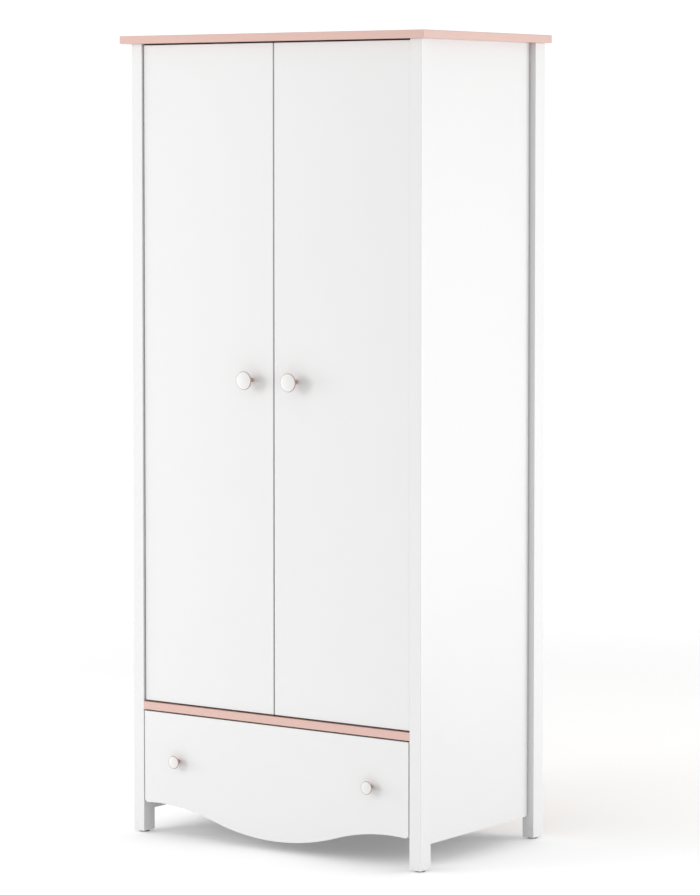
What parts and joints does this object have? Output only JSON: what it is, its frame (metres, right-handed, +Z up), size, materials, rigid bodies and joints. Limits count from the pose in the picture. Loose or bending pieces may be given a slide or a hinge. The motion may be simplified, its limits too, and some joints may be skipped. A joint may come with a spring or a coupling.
{
  "type": "two-door wardrobe",
  "caption": "Tall wardrobe on corner posts: hinged doors with round knobs, a curved-edge drawer below, hat shelf and hanging rail inside.",
  "frame": {"origin": "on the floor, under the middle of the whole object's box (front face of the box: the door knobs)", "axes": "+Z up, -Y out of the front, +X to the right as seen from the front"},
  "size_m": [0.9, 0.559, 1.96],
  "materials": {
    "white_board": "white lacquered board, satin",
    "pink_board": "pale pink lacquered board, satin",
    "pink_knob": "pale pink, glossy",
    "white_cap": "white, glossy",
    "drawer_board": "white foil on board",
    "thin_back": "white-faced hardboard",
    "white_plastic": "extruded",
    "grey_plastic": "moulded",
    "nickel_steel": "nickel-plated",
    "zinc_steel": "zinc-plated",
    "chrome_tube": "bright chrome"
  },
  "bodies": {
    "carcass": {"back_joint_strip": "white_plastic", "cam_bolts": "zinc_steel", "cam_locks": "zinc_steel", "carcass_screws": "zinc_steel", "compartment_floor": "white_board", "foot_glides": "grey_plastic", "front_left_post": "white_board", "front_rail": "pink_board", "front_right_post": "white_board", "hanging_rail": "chrome_tube", "hat_shelf": "white_board", "left_back_panel": "thin_back", "left_hinge_arm_bottom": "nickel_steel", "left_hinge_arm_middle": "nickel_steel", "left_hinge_arm_top": "nickel_steel", "left_hinge_plates": "nickel_steel", "left_rail_flange": "nickel_steel", "left_side_panel": "white_board", "left_slide_outer": "zinc_steel", "rear_bottom_rail": "white_board", "rear_left_post": "white_board", "rear_right_post": "white_board", "rear_top_rail": "white_board", "right_back_panel": "thin_back", "right_hinge_arm_bottom": "nickel_steel", "right_hinge_arm_middle": "nickel_steel", "right_hinge_arm_top": "nickel_steel", "right_hinge_plates": "nickel_steel", "right_rail_flange": "nickel_steel", "right_side_panel": "white_board", "right_slide_outer": "zinc_steel", "shelf_pins": "zinc_steel", "top_panel": "pink_board"},
    "left_leaf": {"left_door": "white_board", "left_hinge_cups": "nickel_steel", "left_hinge_pins": "zinc_steel", "left_door_knob": "pink_knob", "left_door_knob_cap": "white_cap", "left_door_screws": "zinc_steel"},
    "right_leaf": {"right_door": "white_board", "right_hinge_cups": "nickel_steel", "right_hinge_pins": "zinc_steel", "right_door_knob": "pink_knob", "right_door_knob_cap": "white_cap", "right_door_screws": "zinc_steel"},
    "drawer": {"drawer_back": "drawer_board", "drawer_bottom": "thin_back", "drawer_front": "white_board", "drawer_left_knob": "pink_knob", "drawer_left_knob_cap": "white_cap", "drawer_left_side": "drawer_board", "drawer_right_knob": "pink_knob", "drawer_right_knob_cap": "white_cap", "drawer_right_side": "drawer_board", "drawer_screws": "zinc_steel", "left_slide_inner": "zinc_steel", "right_slide_inner": "zinc_steel"},
    "left_slide_runner": {"left_slide_middle": "zinc_steel"},
    "right_slide_runner": {"right_slide_middle": "zinc_steel"}
  },
  "joints": [
    {"name": "left_door_swing", "type": "hinge", "parent": "carcass", "child": "left_leaf", "pos_m": [-0.3775, -0.2335, 1.1345], "axis": [0, 0, -1], "range_deg": [0, 100]},
    {"name": "right_door_swing", "type": "hinge", "parent": "carcass", "child": "right_leaf", "pos_m": [0.3775, -0.2335, 1.1345], "axis": [0, 0, 1], "range_deg": [0, 100]},
    {"name": "drawer_slide", "type": "slide", "parent": "carcass", "child": "drawer", "axis": [0, -1, 0], "range_m": [0, 0.45]},
    {"name": "left_runner_slide", "type": "slide", "parent": "carcass", "child": "left_slide_runner", "axis": [0, -1, 0], "range_m": [0, 0.225]},
    {"name": "right_runner_slide", "type": "slide", "parent": "carcass", "child": "right_slide_runner", "axis": [0, -1, 0], "range_m": [0, 0.225]}
  ],
  "couplings": [
    {"joint": "left_runner_slide", "follows": "drawer_slide", "ratio": 0.5},
    {"joint": "right_runner_slide", "follows": "drawer_slide", "ratio": 0.5}
  ]
}
